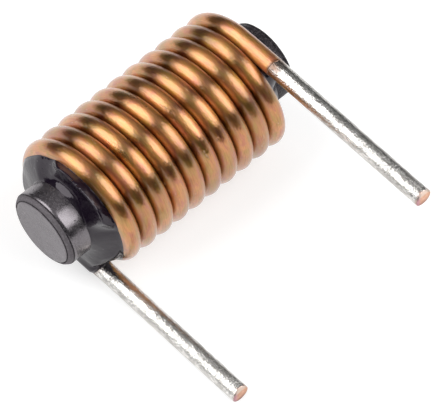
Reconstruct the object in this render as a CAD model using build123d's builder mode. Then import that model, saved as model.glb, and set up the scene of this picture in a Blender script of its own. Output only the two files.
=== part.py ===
"""Rod core inductor: a ferrite rod in a one-layer coil of thick enamelled wire.

The coil lies along Y, its first turn at -Y. Both wire ends leave it towards +X, as straight tinned
leads: the front one from the lowest point of the coil, the rear one from its highest. Black resin
fills both coil ends around the rod. The part lies on the coil and the front lead, at z = 0.
"""

from math import cos, pi, sin
import os

from build123d import *

# Wire and coil, in millimetres
stripped_d = 1.46  # copper of the leads, once the enamel is scraped off
enamelled_d = 1.56
tin_wall = 0.03
coil_mean_d = 10.0
pitch = 1.667
turns = 10.5
steps_per_turn = 24  # the wire is a chain of short straight prisms, which keeps its mesh light
wire_sides = 16

# Leads, measured along X from the axis of the coil
enamel_reach = 3.15
taper_reach = 5.8  # scraped less and less from here back to the enamel
front_lead_reach = 18.4
rear_lead_reach = 19.7

# Ferrite rod, measured along Y from the middle of the coil
rod_d = 6.5
rod_front = 12.0
rod_rear = 11.4
rod_chamfer = 0.4

# Resin at each coil end, measured along Y from the middle of the wire there
resin_proud = 0.98  # flat face, out past the wire
resin_shoulder = 0.1  # widest place, where the slope from the face meets the coil
resin_skirt = 0.75  # depth of the collar that fills the step of the first turn
resin_depth = 3.0  # depth of the plug between the rod and the coil
resin_d = 10.3
resin_face_d = 9.4
resin_edge = 0.2
plug_clearance = 0.05  # between the plug and the bore of the coil

wire_r = enamelled_d / 2
coil_r = coil_mean_d / 2
half_coil = turns * pitch / 2
bore_r = coil_r * cos(pi / steps_per_turn) - wire_r

# The origin is under the middle of the whole part
axis_x = (coil_r + wire_r - max(front_lead_reach, rear_lead_reach)) / 2
axis_y = (rod_front - rod_rear) / 2
axis_z = coil_r + wire_r
coil_centre = Vector(axis_x, axis_y, axis_z)


def helix_point(step):
    """Centre of the wire, a number of steps after the front lead joins the coil at its bottom."""
    angle = 2 * pi * step / steps_per_turn
    along = pitch * step / steps_per_turn - half_coil
    return coil_centre + Vector(-coil_r * sin(angle), along, -coil_r * cos(angle))


def lead_point(coil_end, reach):
    """Centre of a lead, at a distance along X from the axis of the coil."""
    return Vector(axis_x + reach, coil_end.Y, coil_end.Z)


def turn_lead(coil_end, reach, wall):
    """Round bare lead from the enamel to its tip, with a wall of tin over the copper."""
    side = Plane(lead_point(coil_end, 0), x_dir=(1, 0, 0), z_dir=(0, -1, 0))
    with BuildSketch(side) as outline:
        with BuildLine():
            Polyline(
                (enamel_reach, 0),
                (enamel_reach, wire_r - tin_wall + wall),
                (taper_reach, stripped_d / 2 + wall),
                (reach, stripped_d / 2 + wall),
                (reach, 0),
                close=True,
            )
        make_face()
    revolve(outline.sketch, axis=Axis(coil_end, (1, 0, 0)))


front_end = helix_point(0)
rear_end = helix_point(turns * steps_per_turn)
inner_points = [helix_point(step) for step in range(1, round(turns * steps_per_turn))]
leads = {"front": (front_end, front_lead_reach), "rear": (rear_end, rear_lead_reach)}

os.makedirs("parts", exist_ok=True)

# Winding: one wire, enamelled from lead to lead, with its bare copper ends
with BuildPart() as winding:
    with BuildLine() as wire_path:
        Polyline(
            lead_point(front_end, enamel_reach),
            front_end,
            *inner_points,
            rear_end,
            lead_point(rear_end, enamel_reach),
        )
    with BuildSketch(Plane(wire_path.line @ 0, x_dir=(0, 1, 0), z_dir=wire_path.line % 0)):
        RegularPolygon(wire_r, wire_sides)
    sweep(transition=Transition.RIGHT)
    for coil_end, reach in leads.values():
        turn_lead(coil_end, reach, wall=0)
winding.part.label = "winding"
export_step(winding.part, "parts/winding.step")

# Tin on the copper of the two leads, from the enamel to the cut tip
for name, (coil_end, reach) in leads.items():
    with BuildPart() as tin:
        turn_lead(coil_end, reach, tin_wall)
        add(winding.part, mode=Mode.SUBTRACT)
    tin.part.label = f"{name}_lead_tin"
    export_step(tin.part, f"parts/{name}_lead_tin.step")

# Ferrite rod, chamfered at both ends
with BuildPart() as rod:
    with BuildSketch(Plane(coil_centre - Vector(0, rod_front, 0), z_dir=(0, 1, 0))):
        Circle(rod_d / 2)
    extrude(amount=rod_front + rod_rear)
    chamfer(rod.edges().filter_by(GeomType.CIRCLE), rod_chamfer)
rod.part.label = "ferrite_rod"
export_step(rod.part, "parts/ferrite_rod.step")

# Resin: a plug and a collar turned about the rod, with the end of the wire pressed into them
for name, outward in (("front", -1), ("rear", 1)):
    end_of_coil = coil_centre + Vector(0, outward * half_coil, 0)
    with BuildPart() as resin:
        with BuildSketch(Plane(end_of_coil, x_dir=(1, 0, 0), z_dir=(0, 0, outward))):
            with BuildLine():
                Polyline(
                    (rod_d / 2, resin_proud),
                    (resin_face_d / 2 - resin_edge, resin_proud),
                    (resin_face_d / 2 + resin_edge / 2, resin_proud - resin_edge),
                    (resin_d / 2, resin_shoulder),
                    (resin_d / 2, -resin_skirt),
                    (bore_r - plug_clearance, -resin_skirt),
                    (bore_r - plug_clearance, -resin_depth),
                    (rod_d / 2, -resin_depth),
                    close=True,
                )
            make_face()
        revolve(axis=Axis(coil_centre, (0, 1, 0)))
        add(winding.part, mode=Mode.SUBTRACT)
    resin.part.label = f"{name}_resin"
    export_step(resin.part, f"parts/{name}_resin.step")
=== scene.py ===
"""Rod core inductor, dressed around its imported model.

Every CAD node is replaced by a finer mesh in the same place: one round enamelled wire, a bumpy coat
of tin on each lead with the cut copper showing at its tip, a ferrite rod with worn edges, and
resin that creeps up the wire and the rod. Lengths are in metres, and mm is one millimetre.
"""

from math import cos, pi, radians, sin, tan

import bpy
import numpy as np
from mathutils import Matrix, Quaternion, Vector, noise


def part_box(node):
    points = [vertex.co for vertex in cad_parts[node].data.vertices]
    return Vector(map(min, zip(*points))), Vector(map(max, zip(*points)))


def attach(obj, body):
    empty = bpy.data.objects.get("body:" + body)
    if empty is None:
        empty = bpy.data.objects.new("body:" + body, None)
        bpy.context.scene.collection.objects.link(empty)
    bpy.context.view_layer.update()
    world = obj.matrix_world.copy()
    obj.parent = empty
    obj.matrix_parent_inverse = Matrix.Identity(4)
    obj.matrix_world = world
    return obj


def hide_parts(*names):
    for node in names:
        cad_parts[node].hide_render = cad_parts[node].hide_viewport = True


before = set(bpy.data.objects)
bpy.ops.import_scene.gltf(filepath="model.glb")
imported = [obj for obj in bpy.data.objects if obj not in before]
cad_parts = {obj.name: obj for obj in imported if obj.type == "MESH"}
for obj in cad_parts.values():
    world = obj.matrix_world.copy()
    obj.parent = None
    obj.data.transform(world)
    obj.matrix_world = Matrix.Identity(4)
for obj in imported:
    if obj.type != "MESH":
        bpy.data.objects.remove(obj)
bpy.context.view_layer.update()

mm = 0.001
turns = 10.5

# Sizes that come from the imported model
rod_low, rod_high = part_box("ferrite_rod")
rod_r = (rod_high.x - rod_low.x) / 2
axis = (rod_low + rod_high) / 2
front_tin_low, front_tin_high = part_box("front_lead_tin")
rear_tin_low, rear_tin_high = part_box("rear_lead_tin")
wire_r = (front_tin_high.z - front_tin_low.z) / 2
front_lead = (front_tin_low + front_tin_high) / 2
rear_lead = (rear_tin_low + rear_tin_high) / 2
coil_r = axis.z - front_lead.z
pitch = (rear_lead.y - front_lead.y) / turns
enamel_reach = front_tin_low.x - axis.x
tip_x = {"front": front_tin_high.x, "rear": rear_tin_high.x}

turn_length = ((2 * pi * coil_r) ** 2 + pitch**2) ** 0.5
coil_length = turns * turn_length
coil_centre = Vector((axis.x, (front_lead.y + rear_lead.y) / 2, axis.z))

# The enamel is stripped closer to the coil on one lead than on the other
front_enamel_reach = enamel_reach - 0.5 * mm
rear_enamel_reach = enamel_reach + 0.45 * mm


# Meshes


def add_object(name, data):
    """Object in the scene that shows a mesh, a lamp or a camera."""
    thing = bpy.data.objects.new(name, data)
    bpy.context.scene.collection.objects.link(thing)
    return thing


def add_piece(name, vertices, faces, material, slot, *nodes):
    """Smooth mesh piece that rides on the part and stands for CAD nodes."""
    mesh = bpy.data.meshes.new(name)
    mesh.from_pydata([tuple(v) for v in vertices], [], faces)
    mesh.validate()
    mesh.polygons.foreach_set("use_smooth", [True] * len(mesh.polygons))
    mesh.materials.append(material)
    piece = add_object(name, mesh)
    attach(piece, "root")
    if nodes:
        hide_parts(*nodes)
    return piece


def mark(piece, name, values):
    """Store values, or vectors, for the vertices of a piece as an attribute its material can read."""
    values = np.asarray(values)
    kind, field = ("FLOAT", "value") if values.ndim == 1 else ("FLOAT_VECTOR", "vector")
    attribute = piece.data.attributes.new(name, kind, "POINT")
    attribute.data.foreach_set(field, values.astype(np.float32).ravel())


def tube_faces(rings, sides):
    """Quads between rings of vertices, each ring closed on itself, and a face over each end."""
    faces = []
    for ring in range(rings - 1):
        for side in range(sides):
            near = ring * sides + side
            far = ring * sides + (side + 1) % sides
            faces.append((near, far, far + sides, near + sides))
    faces.append(tuple(range(sides - 1, -1, -1)))
    faces.append(tuple(range((rings - 1) * sides, rings * sides)))
    return faces


def bumps(points, spacing, seed):
    """Smooth noise from about -1 to 1 at each point, with features one spacing apart."""
    offset = np.array((7.3, -3.1, 5.7)) * seed
    places = points.reshape(-1, 3) / spacing + offset
    values = [noise.noise(place) for place in places]
    return np.array(values).reshape(points.shape[:-1])


def crossings(value, along):
    """Grid edges along one axis that change sign: their places, and the values at their two ends."""
    ends = np.moveaxis(value, along, 0)
    near, far = ends[:-1], ends[1:]
    crossed = np.moveaxis((near < 0) != (far < 0), 0, along)
    near, far = (np.moveaxis(end, 0, along)[crossed] for end in (near, far))
    return np.argwhere(crossed), near, far


def surface_net(field, low, high, step):
    """Mesh of the surface where a field is zero: one vertex in each grid cell that it crosses."""
    axes = [np.arange(a, b + step, step) for a, b in zip(low, high)]
    value = field(np.stack(np.meshgrid(*axes, indexing="ij"), axis=-1))
    total = np.zeros((*value.shape, 3))
    count = np.zeros(value.shape)
    quads = []
    for along in range(3):
        index, near, far = crossings(value, along)
        point = np.array(low) + step * index
        point[:, along] += step * near / (near - far)
        cells = []
        for back_u, back_v in ((0, 0), (1, 0), (1, 1), (0, 1)):
            cell = index.copy()
            cell[:, (along + 1) % 3] -= back_u
            cell[:, (along + 2) % 3] -= back_v
            np.add.at(total, tuple(cell.T), point)
            np.add.at(count, tuple(cell.T), 1)
            cells.append(cell)
        leaving = near < 0
        quads.append(np.stack(cells, axis=1)[leaving])
        quads.append(np.stack(cells[::-1], axis=1)[~leaving])
    used = count > 0
    number = np.cumsum(used).reshape(used.shape) - 1
    vertices = total[used] / count[used][:, None]
    corners = np.concatenate(quads)
    faces = number[corners[..., 0], corners[..., 1], corners[..., 2]]
    return settle(vertices, field, step), faces.tolist()


def settle(vertices, field, step):
    """Vertices moved along the field's slope until they lie on its zero surface."""
    reach = step / 4
    least_steepness = 0.3
    for _ in range(3):
        value = field(vertices)
        rises = [field(vertices + reach * e) - field(vertices - reach * e) for e in np.eye(3)]
        slope = np.stack(rises, axis=1) / (2 * reach)
        steepness = np.maximum((slope**2).sum(axis=1), least_steepness)
        vertices = vertices - slope * np.clip(value / steepness, -reach, reach)[:, None]
    return vertices


# Shader nodes


def add_node(tree, kind, inputs=None, **settings):
    """Shader node with its settings, and its inputs set to values or joined to sockets."""
    node = tree.nodes.new("ShaderNode" + kind)
    for name, setting in settings.items():
        setattr(node, name, setting)
    for name, source in (inputs or {}).items():
        if isinstance(source, bpy.types.NodeSocket):
            tree.links.new(source, node.inputs[name])
        else:
            node.inputs[name].default_value = source
    return node


def new_material(name, **constants):
    """Material and its main shader, with constant sockets set on the shader itself."""
    material = bpy.data.materials.new(name)
    material.use_nodes = True
    shader = material.node_tree.nodes["Principled BSDF"]
    for socket, value in constants.items():
        shader.inputs[socket.replace("_", " ")].default_value = value
    return material, material.node_tree, shader


def calculated(tree, operation, first, second, third=0.0):
    """Result of a math node."""
    return add_node(tree, "Math", {0: first, 1: second, 2: third}, operation=operation).outputs[0]


def summed(tree, base, *terms):
    """A value with terms added to it. Each term is a value and its weight."""
    for value, weight in terms:
        base = calculated(tree, "MULTIPLY_ADD", value, weight, base)
    return base


def between(tree, value, low, high, start=0.0, end=1.0):
    """Value mapped from one range to another, and held inside it."""
    inputs = {"Value": value, "From Min": low, "From Max": high, "To Min": start, "To Max": end}
    return add_node(tree, "MapRange", inputs).outputs[0]


def blend(tree, share, first, second):
    """Colour between two colours, by a share from 0 to 1."""
    node = add_node(tree, "Mix", {0: share, 6: first, 7: second}, data_type="RGBA")
    return node.outputs[2]


def layered(tree, base, *layers):
    """A colour with layers over it. Each layer is a share from 0 to 1 and a colour."""
    for share, colour in layers:
        base = blend(tree, share, base, colour)
    return base


def place_in_mm(tree):
    """Place on the part in millimetres."""
    spot = add_node(tree, "TexCoord").outputs["Object"]
    return scaled(tree, spot, 1000, 1000, 1000)


def marked(tree, name, kind="Fac"):
    """What mark() stored on a piece, read as a value, or as a vector."""
    return add_node(tree, "Attribute", attribute_name=name).outputs[kind]


def scaled(tree, vector, x, y, z):
    """Vector with each of its parts scaled."""
    return add_node(tree, "VectorMath", {0: vector, 1: (x, y, z)}, operation="MULTIPLY").outputs[0]


def grain(tree, place, size, detail):
    """Noise from 0 to 1 with features of a size in millimetres."""
    inputs = {"Vector": place, "Scale": 1 / size, "Detail": detail, "Roughness": 0.6}
    return add_node(tree, "TexNoise", inputs).outputs["Fac"]


def specks(tree, place, spacing, radius, share):
    """1 on small round specks and 0 between them. A share of the cells, one spacing wide, has one."""
    cells = add_node(tree, "TexVoronoi", {"Vector": place, "Scale": 1 / spacing})
    spot = between(tree, cells.outputs["Distance"], 0.6 * radius / spacing, radius / spacing, 1, 0)
    pick = add_node(tree, "SeparateColor", {"Color": cells.outputs["Color"]}).outputs[0]
    return calculated(tree, "MULTIPLY", spot, calculated(tree, "LESS_THAN", pick, share))


def paint(tree, shader, colour, rough):
    """Join a colour and a roughness to a shader."""
    tree.links.new(colour, shader.inputs["Base Color"])
    tree.links.new(rough, shader.inputs["Roughness"])


def bump(tree, height, depth, *sockets):
    """Relief with a depth in metres, joined to normal sockets."""
    relief = add_node(tree, "Bump", {"Height": height, "Strength": 1.0, "Distance": depth})
    for socket in sockets:
        tree.links.new(relief.outputs[0], socket)


# Materials

amber = (0.66, 0.265, 0.072, 1)
brown_amber = (0.4, 0.165, 0.043, 1)
olive_amber = (0.44, 0.24, 0.04, 1)
red_amber = (0.5, 0.15, 0.08, 1)
dark_amber = (0.33, 0.11, 0.025, 1)
scuffed_amber = (0.75, 0.45, 0.25, 1)
charred_amber = (0.09, 0.035, 0.02, 1)
burnt_amber = (0.16, 0.06, 0.02, 1)
bared_copper = (0.8, 0.55, 0.4, 1)


def enamel_material():
    """Copper under amber enamel: drawn lengthwise, with browner patches, scuffs and a burnt end."""
    material, tree, shader = new_material(
        "enamelled_copper",
        Metallic=1,
        Anisotropic=1.0,
        Coat_Weight=1,
        Coat_IOR=1.7,
        Coat_Roughness=0.1,
    )
    across = add_node(tree, "Tangent", direction_type="UV_MAP", uv_map="around_and_along")
    tree.links.new(across.outputs[0], shader.inputs["Tangent"])
    place = marked(tree, "unwound", "Vector")
    patch = grain(tree, scaled(tree, place, 0.5, 0.5, 0.2), 1.0, 3)
    tint = grain(tree, scaled(tree, place, 1, 1, 0.5), 0.7, 3)
    streak = grain(tree, scaled(tree, place, 1, 1, 0.1), 0.11, 3)
    fine = grain(tree, scaled(tree, place, 1, 1, 0.4), 0.09, 2)
    scuff = between(tree, grain(tree, scaled(tree, place, 1, 1, 0.45), 0.45, 4), 0.66, 0.72)
    speck = specks(tree, place, 1.3, 0.07, 0.25)
    ragged = summed(tree, marked(tree, "from_end"), (fine, 0.25))
    colour = layered(
        tree,
        blend(tree, between(tree, patch, 0.35, 0.7), amber, brown_amber),
        (between(tree, tint, 0.5, 0.62, 0, 0.8), olive_amber),
        (between(tree, tint, 0.36, 0.46, 0.7, 0), red_amber),
        (between(tree, streak, 0.45, 0.7, 0, 0.5), dark_amber),
        (calculated(tree, "MULTIPLY", scuff, 0.5), scuffed_amber),
        (speck, charred_amber),
        (between(tree, ragged, 0.2, 0.42, 0.9, 0), burnt_amber),
        (between(tree, ragged, 0.1, 0.15, 1, 0), bared_copper),
    )
    rough = summed(tree, between(tree, patch, 0.3, 0.7, 0.27, 0.36), (scuff, 0.14))
    paint(tree, shader, colour, rough)
    height = summed(tree, fine, (streak, 0.7), (scuff, -0.8), (speck, 1.5))
    bump(tree, height, 0.02 * mm, shader.inputs["Normal"], shader.inputs["Coat Normal"])
    return material


bright_tin = (0.95, 0.93, 0.9, 1)
grey_tin = (0.55, 0.53, 0.5, 1)
dark_tin = (0.3, 0.285, 0.27, 1)
pitted_tin = (0.2, 0.19, 0.18, 1)
brown_smudge = (0.2, 0.11, 0.07, 1)
coppery_tin = (0.5, 0.33, 0.27, 1)


def tin_material():
    """Dipped tin: mottled, lumpy, and stained beside the enamel and at the cut."""
    material, tree, shader = new_material("tin", Metallic=1)
    place = place_in_mm(tree)
    mottle = grain(tree, scaled(tree, place, 0.45, 1, 1), 0.45, 4)
    fine = grain(tree, scaled(tree, place, 0.8, 1, 1), 0.13, 3)
    pit = specks(tree, place, 0.5, 0.06, 0.3)
    behind_enamel = summed(tree, marked(tree, "from_enamel"), (mottle, -1.6))
    behind_tip = summed(tree, marked(tree, "from_tip"), (mottle, -1.3))
    colour = layered(
        tree,
        blend(tree, between(tree, mottle, 0.35, 0.65), bright_tin, grey_tin),
        (between(tree, fine, 0.44, 0.6, 0, 0.6), dark_tin),
        (calculated(tree, "MULTIPLY", pit, 0.6), pitted_tin),
        (between(tree, behind_enamel, -0.7, 0.35, 0.85, 0), brown_smudge),
        (between(tree, behind_tip, -0.68, -0.45, 0.7, 0), coppery_tin),
    )
    paint(tree, shader, colour, between(tree, mottle, 0.3, 0.7, 0.07, 0.26))
    height = summed(tree, fine, (mottle, 1.5), (pit, -1.0))
    bump(tree, height, 0.035 * mm, shader.inputs["Normal"])
    return material


tan_copper = (0.5, 0.27, 0.18, 1)
pale_copper = (0.7, 0.45, 0.34, 1)
painted_shade_copper = (0.3, 0.17, 0.14, 1)
mauve_stain = (0.5, 0.27, 0.31, 1)
painted_highlight_copper = (0.6, 0.5, 0.43, 1)


def cut_copper_material():
    """Copper sheared off by cutters: tan, with drag lines and a mauve stain, painted shade towards its
    lower side and a painted highlight on its upper, pinched side.
    """
    material, tree, shader = new_material("cut_copper", Metallic=1)
    place = place_in_mm(tree)
    drag = grain(tree, scaled(tree, place, 1, 0.35, 1), 0.07, 3)
    cloud = grain(tree, place, 0.45, 3)
    on_cut = add_node(tree, "SeparateXYZ", {0: marked(tree, "on_cut", "Vector")}).outputs
    rise = summed(tree, on_cut["Z"], (cloud, 0.5))
    aside = summed(tree, on_cut["Y"], (cloud, 0.5))
    colour = layered(
        tree,
        blend(tree, between(tree, drag, 0.35, 0.65), tan_copper, pale_copper),
        # painted shade: the cut face is darker towards its lower side
        (between(tree, rise, -0.4, 0.1, 0.9, 0), painted_shade_copper),
        (between(tree, aside, -0.3, 0.1, 0.9, 0), mauve_stain),
        # painted highlight: a paler band along the upper, pinched rim of the cut
        (between(tree, rise, 0.6, 0.75, 0, 0.8), painted_highlight_copper),
    )
    paint(tree, shader, colour, between(tree, cloud, 0.3, 0.7, 0.3, 0.5))
    bump(tree, drag, 0.02 * mm, shader.inputs["Normal"])
    return material


black_ferrite = (0.008, 0.006, 0.008, 1)
dark_ferrite = (0.02, 0.017, 0.02, 1)
grey_ferrite = (0.1, 0.09, 0.098, 1)
pitted_ferrite = (0.006, 0.005, 0.006, 1)
pale_dust = (0.4, 0.38, 0.39, 1)


def ferrite_material(name, gloss, smoothest, roughest):
    """Sintered ferrite: fine speckle, pits and rubbed patches. Gloss is its index of refraction."""
    material, tree, shader = new_material(name, IOR=gloss, Specular_Tint=(1.0, 0.92, 0.98, 1))
    place = place_in_mm(tree)
    fine = grain(tree, place, 0.14, 3)
    mid = grain(tree, place, 0.3, 3)
    big = grain(tree, place, 1.3, 3)
    pit = specks(tree, place, 0.45, 0.07, 0.35)
    dust = specks(tree, scaled(tree, place, 1.1, 0.9, 1.2), 0.6, 0.05, 0.3)
    colour = layered(
        tree,
        blend(tree, between(tree, mid, 0.35, 0.65), black_ferrite, dark_ferrite),
        (between(tree, fine, 0.5, 0.62, 0, 0.7), grey_ferrite),
        (calculated(tree, "MULTIPLY", pit, 0.8), pitted_ferrite),
        (calculated(tree, "MULTIPLY", dust, 0.5), pale_dust),
    )
    rough = between(tree, big, 0.35, 0.65, smoothest, roughest)
    rough = summed(tree, rough, (mid, 0.1), (marked(tree, "worn_rim"), 0.5))
    paint(tree, shader, colour, rough)
    height = summed(tree, fine, (mid, 1.2), (pit, -1.5))
    bump(tree, height, 0.006 * mm, shader.inputs["Normal"])
    return material


clear_resin = (0.009, 0.005, 0.012, 1)
hazy_resin = (0.022, 0.017, 0.024, 1)
grey_dust = (0.35, 0.32, 0.35, 1)


def resin_material():
    """Black potting resin: glossy, with soft ripples, dimples and settled dust."""
    material, tree, shader = new_material("black_resin", IOR=1.5, Specular_Tint=(1.0, 0.93, 0.99, 1))
    place = place_in_mm(tree)
    ripple = grain(tree, place, 0.9, 2)
    haze = grain(tree, place, 0.5, 4)
    fine = grain(tree, place, 0.09, 2)
    dimple = specks(tree, place, 0.8, 0.09, 0.3)
    dust = specks(tree, scaled(tree, place, 1.1, 0.9, 1.2), 0.5, 0.045, 0.3)
    colour = layered(
        tree,
        blend(tree, between(tree, haze, 0.5, 0.75), clear_resin, hazy_resin),
        (calculated(tree, "MULTIPLY", dust, 0.6), grey_dust),
    )
    rough = summed(tree, between(tree, haze, 0.4, 0.75, 0.06, 0.2), (dust, 0.3))
    paint(tree, shader, colour, rough)
    low_relief = calculated(tree, "MULTIPLY", fine, 0.15)
    height = summed(tree, low_relief, (ripple, 3.0), (dimple, -0.4), (dust, 0.5))
    bump(tree, height, 0.012 * mm, shader.inputs["Normal"])
    return material


enamel = enamel_material()
tin = tin_material()
cut_copper = cut_copper_material()
ferrite = ferrite_material("ferrite", gloss=2.4, smoothest=0.15, roughest=0.26)
dull_ferrite = ferrite_material("dull_ferrite", gloss=1.35, smoothest=0.4, roughest=0.6)
resin = resin_material()


# Wire

wire_sides = 48
rings_per_turn = 96


def wire_path(distance):
    """Centre of the wire and its outward direction, at distances along it from the front lead."""
    inside = np.clip(distance, 0, coil_length)
    angle = 2 * pi * inside / turn_length
    bend = 1.2 * mm  # the lead turns into the helix over about this length
    eased = (distance + np.sqrt(distance**2 + bend**2)) / 2
    past = distance - coil_length
    eased = eased - (past + np.sqrt(past**2 + bend**2)) / 2
    lead_x = np.maximum(-distance, 0) + np.maximum(past, 0)
    centre = np.stack(
        [
            axis.x - coil_r * np.sin(angle) + lead_x,
            front_lead.y + pitch / turn_length * eased,
            axis.z - coil_r * np.cos(angle),
        ],
        axis=1,
    )
    outward = np.stack([-np.sin(angle), 0 * angle, -np.cos(angle)], axis=1)
    return centre, outward


def sweep_round(distances, radius, shift):
    """Vertices of a tube along the wire. Each has its own radius, and its own shift along the wire."""
    centre, outward = wire_path(distances)
    step = 0.01 * mm
    ahead, _ = wire_path(distances + step)
    behind, _ = wire_path(distances - step)
    tangent = ahead - behind
    tangent /= np.linalg.norm(tangent, axis=1)[:, None]
    side = np.cross(tangent, outward)
    side /= np.linalg.norm(side, axis=1)[:, None]
    outward = np.cross(side, tangent)
    phi = np.linspace(0, 2 * pi, radius.shape[1], endpoint=False)
    spoke = outward[:, None, :] * np.cos(phi)[None, :, None]
    spoke = spoke + side[:, None, :] * np.sin(phi)[None, :, None]
    return centre[:, None, :] + radius[..., None] * spoke + shift[..., None] * tangent[:, None, :]


def wire_rings():
    """Distances of the wire's rings along it, and how far its skin swells there. Each end has a bead."""
    bead = np.array((0, 0.01, 0.03, 0.06, 0.1, 0.16, 0.25, 0.4)) * mm
    bead_swell = np.array((-0.09, -0.03, 0, 0.012, 0.014, 0.008, 0, 0)) * mm
    lead_part = np.linspace(0.6 * mm, front_enamel_reach, 12, endpoint=False)
    coil_part = np.linspace(0, coil_length, round(turns * rings_per_turn), endpoint=False)
    ends = np.concatenate([bead, lead_part])
    swell = np.concatenate([bead_swell, 0 * lead_part])
    rear_part = (coil_length + rear_enamel_reach - ends)[::-1]
    distances = np.concatenate([ends - front_enamel_reach, coil_part, rear_part])
    return distances, np.concatenate([swell, 0 * coil_part, swell[::-1]])


def ragged_end(distances, from_end, phi):
    """Shift along the wire that makes the ends of its enamel ragged, and fades away from them."""
    reach = 1.5 * mm
    depth = 0.14 * mm
    around_wire = np.stack([np.cos(phi), np.sin(phi), 0 * phi], axis=1)
    ragged = depth * (bumps(around_wire, 0.9, 1) + 0.5 * bumps(around_wire, 0.35, 2))
    fade = np.clip(1 - from_end / reach, 0, 1)[:, None]
    return fade * ragged[None, :] * np.where(distances < 0, 1, -1)[:, None]


def map_wire(piece, distances):
    """UV map of the wire in millimetres, around it and along it."""
    layer = piece.data.uv_layers.new(name="around_and_along")
    for polygon in piece.data.polygons[: (len(distances) - 1) * wire_sides]:
        ring, side = divmod(polygon.index, wire_sides)
        corners = ((ring, side), (ring, side + 1), (ring + 1, side + 1), (ring + 1, side))
        for loop, (r, p) in zip(polygon.loop_indices, corners):
            layer.data[loop].uv = (2 * pi * wire_r * p / wire_sides / mm, distances[r] / mm)


def make_wire():
    """One round wire from end to end of its enamel, which stops in a ragged bead on each lead."""
    lumps = 0.006 * mm
    distances, swell = wire_rings()
    phi = np.linspace(0, 2 * pi, wire_sides, endpoint=False)
    from_end = np.minimum(distances + front_enamel_reach, coil_length + rear_enamel_reach - distances)
    shift = ragged_end(distances, from_end, phi)
    across, up = wire_r * np.cos(phi)[None, :], wire_r * np.sin(phi)[None, :]
    unwound = np.stack(np.broadcast_arrays(across, up, distances[:, None]), axis=-1)
    radius = wire_r + swell[:, None] + lumps * bumps(unwound * (1, 1, 0.4), 0.9 * mm, 3)
    vertices = sweep_round(distances, radius, shift).reshape(-1, 3)
    faces = tube_faces(len(distances), wire_sides)
    piece = add_piece("coil_wire", vertices, faces, enamel, "enamelled_copper", "winding")
    mark(piece, "unwound", unwound.reshape(-1, 3) / mm)
    mark(piece, "from_end", np.repeat(from_end, wire_sides) / mm)
    map_wire(piece, distances)


make_wire()


# Leads

lead_sides = 48
lead_ring_step = 0.12 * mm
tin_lumps = 0.012 * mm
copper_lumps = 0.003 * mm
core_length = 2 * mm
under_enamel = 0.6 * mm  # the tin starts this far inside the enamel
behind_core = 0.02 * mm  # the tin stops this far short of the copper's cut

# Millimetres back from the tip, and the radius there
coat_profile = ((0.0, 0.70), (0.0, 0.735), (0.015, 0.752), (0.05, 0.76))
cut_face = ((0.0, 0.2), (0.0, 0.4), (0.0, 0.5), (0.0, 0.6), (0.005, 0.69), (0.02, 0.72))
core_profile = (*cut_face, (0.06, 0.73), (1.0, 0.73))


def lead_mesh(centre, start, tip, profile, seed, lumps):
    """Round bar along X with a bumpy skin. The profile pairs millimetres back from the tip with radii."""
    length = tip - start
    back, radii = np.array(profile).T * mm
    plain = np.linspace(back.max() + lead_ring_step, length, round(length / lead_ring_step))
    behind_tip = np.concatenate([np.sort(back), plain])
    radius = np.interp(behind_tip, back, radii)
    angle = np.linspace(0, 2 * pi, lead_sides, endpoint=False)
    x = np.broadcast_to((tip - behind_tip)[:, None], (len(behind_tip), lead_sides))
    around_x = np.broadcast_arrays(x / 2, wire_r * np.cos(angle), wire_r * np.sin(angle))
    around_x = np.stack(around_x, axis=-1)
    skin = bumps(around_x, 0.8 * mm, seed) + 0.5 * bumps(around_x, 0.3 * mm, seed + 1)
    radius = radius[:, None] + lumps * skin
    points = np.stack([x, centre.y + radius * np.cos(angle), centre.z - radius * np.sin(angle)], axis=-1)
    faces = tube_faces(len(behind_tip), lead_sides)
    return points.reshape(-1, 3), faces, np.repeat(behind_tip, lead_sides)


def pinch(vertices, behind_tip, lead):
    """Slope back the upper side of a cut tip, where the cutter pressed in."""
    lowest = 0.5 * mm
    slope = 0.6
    reach = 0.4 * mm
    rise = np.maximum(vertices[:, 2] - lead.z - lowest, 0)
    vertices[:, 0] -= slope * rise * np.clip(1 - behind_tip / reach, 0, 1)


def make_coat(name, lead, enamel_end, seed):
    """Tin coat of a lead, thicker where it runs under the enamel."""
    start = axis.x + enamel_end - under_enamel
    tip = tip_x[name] - behind_core
    length = (tip - start) / mm
    profile = (*coat_profile, (length - 3.5, 0.76), (length - 0.8, 0.775), (length, 0.74))
    vertices, faces, behind_tip = lead_mesh(lead, start, tip, profile, seed, tin_lumps)
    pinch(vertices, behind_tip, lead)
    coat = add_piece(f"{name}_lead_coat", vertices, faces, tin, "tin", f"{name}_lead_tin")
    mark(coat, "from_tip", behind_tip / mm)
    mark(coat, "from_enamel", (tip - axis.x - enamel_end - behind_tip) / mm)


def make_core(name, lead, seed):
    """The end of a lead's copper, which shows at its cut tip."""
    tip = tip_x[name]
    vertices, faces, behind_tip = lead_mesh(lead, tip - core_length, tip, core_profile, seed, copper_lumps)
    pinch(vertices, behind_tip, lead)
    core = add_piece(f"{name}_lead_core", vertices, faces, cut_copper, "enamelled_copper")
    mark(core, "on_cut", (vertices - np.array((tip, lead.y, lead.z))) / mm)


make_coat("front", front_lead, front_enamel_reach, 10)
make_core("front", front_lead, 13)
make_coat("rear", rear_lead, rear_enamel_reach, 20)
make_core("rear", rear_lead, 23)


# Rod

rod_sides = 160
rod_chamfer = 0.4 * mm
groove = 0.05 * mm  # half the width of the worn groove on each side of a chamfer
# the faces in these grooves take the dull ferrite as painted shade in the creases
shaded_groove_rings = (5, 6, 9, 10)  # rings of faces in those grooves at the front end
dull_from = axis.y + 4 * mm


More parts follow.
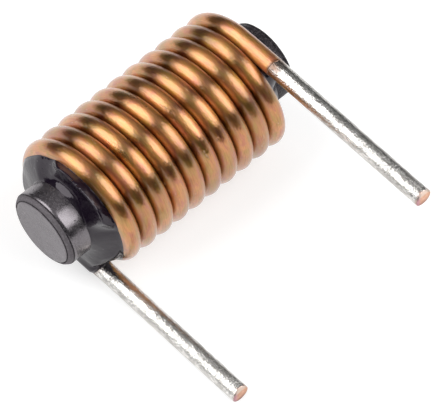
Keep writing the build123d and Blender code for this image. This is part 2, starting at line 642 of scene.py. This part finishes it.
def rod_profile(length):
    """Radii of the rod and their places along it, from its front face to its rear face."""
    flat = rod_r - rod_chamfer
    soft = 0.03 * mm
    half = [(0.02 * mm, 0)]
    half += [(flat * share, 0) for share in (0.25, 0.5, 0.75, 0.9)]
    half += [(flat - groove, 0), (flat - groove / 2, 2 * groove), (flat + groove, groove)]
    half += [(flat + rod_chamfer / 2 + soft, rod_chamfer / 2 - soft)]
    half += [(rod_r - groove, rod_chamfer - groove), (rod_r - 2 * groove, rod_chamfer + groove / 2)]
    half += [(rod_r, rod_chamfer + groove)]
    half += [(rod_r, rod_chamfer + 0.3 * mm), (rod_r, 2 * mm), (rod_r, 4 * mm)]
    return np.array(half + [(r, length - y) for r, y in reversed(half)]).T


def make_rod():
    """Ground ferrite rod, its chamfers a little worn and chipped, its rear end dull, and the grooves at
    its front chamfer dull as painted shade.
    """
    length = rod_high.y - rod_low.y
    radius, y = rod_profile(length)
    angle = np.linspace(0, 2 * pi, rod_sides, endpoint=False)
    points = np.stack(
        [
            axis.x + radius[:, None] * np.cos(angle),
            np.broadcast_to(rod_low.y + y[:, None], (len(y), rod_sides)),
            axis.z - radius[:, None] * np.sin(angle),
        ],
        axis=-1,
    )
    fine_wear = 0.015 * mm * bumps(points, 0.35 * mm, 31)
    wear = fine_wear + 0.01 * mm * bumps(points, 1.1 * mm, 32)
    points[..., 1] += np.where(y < length / 2, 1, -1)[:, None] * np.maximum(wear, 0)
    faces = tube_faces(len(y), rod_sides)
    piece = add_piece("rod", points.reshape(-1, 3), faces, ferrite, "ferrite", "ferrite_rod")
    off_axis = np.hypot(points[..., 0] - axis.x, points[..., 2] - axis.z)
    from_face = np.minimum(points[..., 1] - rod_low.y, rod_high.y - points[..., 1])
    mark(piece, "worn_rim", ((off_axis > rod_r - rod_chamfer) & (from_face < rod_chamfer)).ravel())
    piece.data.materials.append(dull_ferrite)
    # faces in the grooves take the dull ferrite as painted shade; the rear end takes it as well
    for polygon in piece.data.polygons:
        in_shaded_groove = polygon.index // rod_sides in shaded_groove_rings
        polygon.material_index = int(in_shaded_groove or polygon.center.y > dull_from)


make_rod()


# Resin
#
# A place on the resin is given by its turn round the axis, from 0 to 1, where 0 is the bottom, 0.25
# is opposite the leads, 0.5 is the top and 0.75 faces the leads. It is also given by r, its distance
# from the axis, and by out, how far it lies past the middle of the front lead.

resin_depth = 3 * mm
resin_top = 1.2 * mm  # how far out the resin climbs on the rod
resin_creep = 0.9 * mm  # how far it may creep along the wire and the rod
plug_clearance = 0.02 * mm  # between the coil's bore and the resin inside it
plug_from = -0.8 * mm  # further in than this, the resin is a plug in that bore
hidden_wire = 0.04 * mm  # the resin's own wire and rod are thinner than the real ones by these
hidden_rod = 0.015 * mm
hollow = 0.2 * mm  # depth inside the rod where the resin's mesh closes
cell = 0.1 * mm


def eased(value, start, end):
    """Smooth step from 0 to 1 as the value goes from start to end."""
    share = np.clip((value - start) / (end - start), 0, 1)
    return share * share * (3 - 2 * share)


def around(turn, *steps):
    """Value at a turn, eased between steps that pair a turn with a value."""
    value = steps[0][1] + 0 * turn
    for (start, before), (end, after) in zip(steps, steps[1:]):
        value = value + (after - before) * eased(turn, start, end)
    return value


def smooth_least(a, b, width):
    """The lesser of two distances, with the corner between them filled over a width."""
    near = np.maximum(width - np.abs(a - b), 0) / width
    return np.minimum(a, b) - near * near * width / 4


def fillet(a, b, radius):
    """The lesser of two distances, with a round fillet in the corner between them."""
    corner = radius - np.hypot(np.maximum(radius - a, 0), np.maximum(radius - b, 0))
    return np.minimum(np.minimum(a, b), corner)


def resin_face(r, out, turn, foot):
    """Distance to the dished face, which runs from its foot on the rod to its rim on the wire."""
    low_slope = ((0.36, 0.16), (0.42, 0), (0.47, 0.35), (0.53, 0.35), (0.64, 0.26))
    slope = around(turn, *low_slope, (0.7, 0.94), (0.74, 0.94), (0.9, 0.16))
    bowl = mm * around(turn, (0.43, 0), (0.47, 0.54), (0.53, 0.54), (0.65, 0))
    to_wire = ((0.05, 1), (0.13, 0), (0.18, 0), (0.26, 0.55), (0.36, 0.8), (0.42, 1), (0.48, 0))
    wire_front = wire_r - pitch * turn
    fall = (foot - slope * (coil_r - rod_r) - wire_front) * around(turn, *to_wire)
    share = np.clip((r - rod_r) / (coil_r - rod_r), 0, 1.3)
    return (out - foot + slope * (r - rod_r) + (fall - bowl) * share**2) / np.sqrt(1.2 + slope * slope)


def resin_side(r, out, turn, over_lead):
    """Distance to the side, which follows the wire. It flares or is drawn in on parts of the turn."""
    if over_lead:
        overhang = 0.45 * around(turn, (0.42, 0), (0.48, 1), (0.6, 1), (0.68, 0))
        draft = 0.5 * around(turn, (0.78, 0), (0.85, 1), (0.93, 1), (1, 0))
        flare = mm * around(turn, (0.08, 0), (0.14, 0.3), (0.28, 0.25), (0.36, 0))
    else:
        open_side = around(turn, (0.4, 0), (0.48, 1), (0.8, 1), (0.9, 0))
        overhang = 0
        draft = 0.8 * open_side
        flare = -1.3 * mm * open_side
    wire_front = wire_r - pitch * turn
    lip = coil_r + flare + (overhang - draft) * np.maximum(out - wire_front, 0) + 0.6 * mm * draft
    plug = coil_r - wire_r - plug_clearance
    return r - np.where(out > plug_from, lip, plug)


def lead_tab(along_lead, out, z):
    """Distance to the lobe that the resin sends out over the start of the lead."""
    middle = 0.9 * mm
    height = -4.15 * mm
    to_end = 1.7 * mm - np.abs(along_lead - middle)
    to_top = 1.1 * mm - np.abs(z - height)
    return np.maximum(-fillet(to_end, to_top, 0.5 * mm), -0.3 * mm - out)


def lead_cover(x, out, z, along_lead):
    """Distance to the sleeve of resin round the first stretch of the lead, which ends softly."""
    radius = 0.74 * mm
    end = 2.75 * mm
    across = np.hypot(z + coil_r - 0.2 * mm, out - 0.05 * mm)
    sleeve = np.hypot(across, np.minimum(x, 0)) - radius
    return -smooth_least(-sleeve, end - along_lead, 0.3 * mm)


def thinned_wire(x, out, z, r, turn):
    """Distance to the first two turns and the lead, thin enough to stay hidden in the copper."""
    first = np.hypot(r - coil_r, out + pitch * turn)
    second = np.hypot(r - coil_r, out + pitch * (turn + 1))
    lead = np.where(x > 0, np.hypot(z + coil_r, out), 1)
    return np.minimum(np.minimum(first, second), lead) - (wire_r - hidden_wire)


def resin_field(points, over_lead):
    """Distance to the front end's resin, less than zero inside it. It may run on over the lead."""
    x = points[..., 0] - axis.x
    out = front_lead.y - points[..., 1]
    z = points[..., 2] - axis.z
    r = np.hypot(x, z)
    turn = np.mod(np.arctan2(-x, -z) / (2 * pi), 1)
    along_lead = x - 0.5 * (z + coil_r)
    foot = mm * around(turn, (0.36, 1.12), (0.42, 0.65), (0.53, 0.7), (0.66, 1.12))
    edge = mm * around(turn, (0.43, 0.3), (0.48, 0.05), (0.62, 0.05), (0.7, 0.3))
    creep = mm * around(turn, (0.25, 0.3), (0.33, 0.12), (0.48, 0.05), (0.62, 0.05), (0.7, 0.3))
    side = resin_side(r, out, turn, over_lead)
    if over_lead:
        side = fillet(side, lead_tab(along_lead, out, z), 0.8 * mm)
    body = -fillet(-resin_face(r, out, turn, foot), -side, edge)
    body = np.maximum(body, -resin_depth - out)
    thinned_rod = r - (rod_r - hidden_rod)
    wetted = smooth_least(body, thinned_wire(x, out, z, r, turn), creep)
    wetted = fillet(wetted, thinned_rod, resin_top - foot)
    wetted = np.maximum(wetted, body - resin_creep)
    if over_lead:
        wetted = smooth_least(wetted, lead_cover(x, out, z, along_lead), 0.5 * mm)
    return np.maximum(wetted, rod_r - hollow - r)


def make_resin(name, flip, over_lead):
    """Resin at one end of the coil. The rear end is a front end turned half round about X."""
    reach = 6.0 * mm
    outward = 1.6 * mm
    inward = resin_depth + 0.2 * mm
    low = (axis.x - reach, front_lead.y - outward, axis.z - reach)
    high = (axis.x + reach, front_lead.y + inward, axis.z + reach)
    vertices, faces = surface_net(lambda points: resin_field(points, over_lead), low, high, cell)
    middle = np.array(coil_centre)
    placed = middle + (vertices - middle) * flip
    add_piece(f"{name}_end_resin", placed, faces, resin, "black_resin", f"{name}_resin")


make_resin("front", np.ones(3), over_lead=True)
make_resin("rear", np.array((1, -1, -1)), over_lead=False)


# Camera

camera_azimuth = radians(-43.3)
camera_elevation = radians(57.88)
camera_distance = 455.9 * mm
camera_lens = 486.5  # in millimetres, for a sensor 36 wide
aim_right = 4.85 * mm
aim_up = -5.23 * mm


def toward(azimuth, elevation):
    """Direction with an azimuth and an elevation in radians."""
    level = cos(elevation)
    return Vector((level * cos(azimuth), level * sin(azimuth), sin(elevation)))


def make_camera():
    """Camera with a long lens, aimed a little beside the coil."""
    backward = toward(camera_azimuth, camera_elevation)
    right = Vector((-sin(camera_azimuth), cos(camera_azimuth), 0))
    up = backward.cross(right)
    data = bpy.data.cameras.new("camera")
    data.lens = camera_lens
    data.sensor_width = 36
    data.clip_start = 0.01
    camera = add_object("camera", data)
    camera.location = coil_centre + aim_right * right + aim_up * up + camera_distance * backward
    camera.rotation_euler = backward.to_track_quat("Z", "Y").to_euler()
    return camera


bpy.context.scene.camera = make_camera()


# Floor

floor_reach = 1.0


def floor_material():
    """Pale matt floor that glows: to the camera it is white, and in reflections it is bright."""
    material, tree, shader = new_material(
        "floor",
        Base_Color=(0.55, 0.55, 0.55, 1),
        Roughness=0.9,
        Specular_IOR_Level=0,
        Emission_Color=(1, 1, 1, 1),
    )
    rays = add_node(tree, "LightPath").outputs
    in_reflections = calculated(tree, "MULTIPLY", rays["Is Glossy Ray"], 0.5)
    glow = calculated(tree, "MULTIPLY_ADD", rays["Is Camera Ray"], 0.6, in_reflections)
    tree.links.new(glow, shader.inputs["Emission Strength"])
    return material


corners = ((-1, -1), (1, -1), (1, 1), (-1, 1))
floor_mesh = bpy.data.meshes.new("floor")
floor_mesh.from_pydata([(floor_reach * x, floor_reach * y, 0) for x, y in corners], [], [(0, 1, 2, 3)])
floor_mesh.materials.append(floor_material())
floor = add_object("floor", floor_mesh)


# Lamps

lamp_distance = 0.6


def softbox(name, azimuth, elevation, tilt, width, height, radiance):
    """Oval lamp that faces the part. Its place, tilt and angular size are in degrees."""
    lamp = bpy.data.lights.new(name, "AREA")
    lamp.shape = "ELLIPSE"
    lamp.size = 2 * lamp_distance * tan(radians(width / 2))
    lamp.size_y = 2 * lamp_distance * tan(radians(height / 2))
    lamp.energy = radiance * pi * pi / 4 * lamp.size * lamp.size_y
    light = add_object(name, lamp)
    direction = toward(radians(azimuth), radians(elevation))
    light.location = coil_centre + lamp_distance * direction
    facing = direction.to_track_quat("Z", "Y") @ Quaternion((0, 0, 1), radians(tilt))
    light.rotation_euler = facing.to_euler()


softbox("left_softbox", azimuth=-127, elevation=43, tilt=27, width=48, height=70, radiance=3.0)
softbox("right_softbox", azimuth=46, elevation=43, tilt=51, width=45, height=70, radiance=3.0)


# World


def make_world():
    """White sky, all but dark near the horizon and dim overhead."""
    world = bpy.data.worlds.new("world")
    world.use_nodes = True
    tree = world.node_tree
    direction = add_node(tree, "TexCoord").outputs["Generated"]
    rise = add_node(tree, "SeparateXYZ", {0: direction}).outputs["Z"]
    squared = calculated(tree, "MULTIPLY", rise, rise)
    background = tree.nodes["Background"]
    background.inputs["Color"].default_value = (1, 1, 1, 1)
    strength = calculated(tree, "MULTIPLY_ADD", squared, 0.4, 0.03)
    tree.links.new(strength, background.inputs["Strength"])
    return world


bpy.context.scene.world = make_world()
bpy.context.scene.view_settings.view_transform = "Standard"
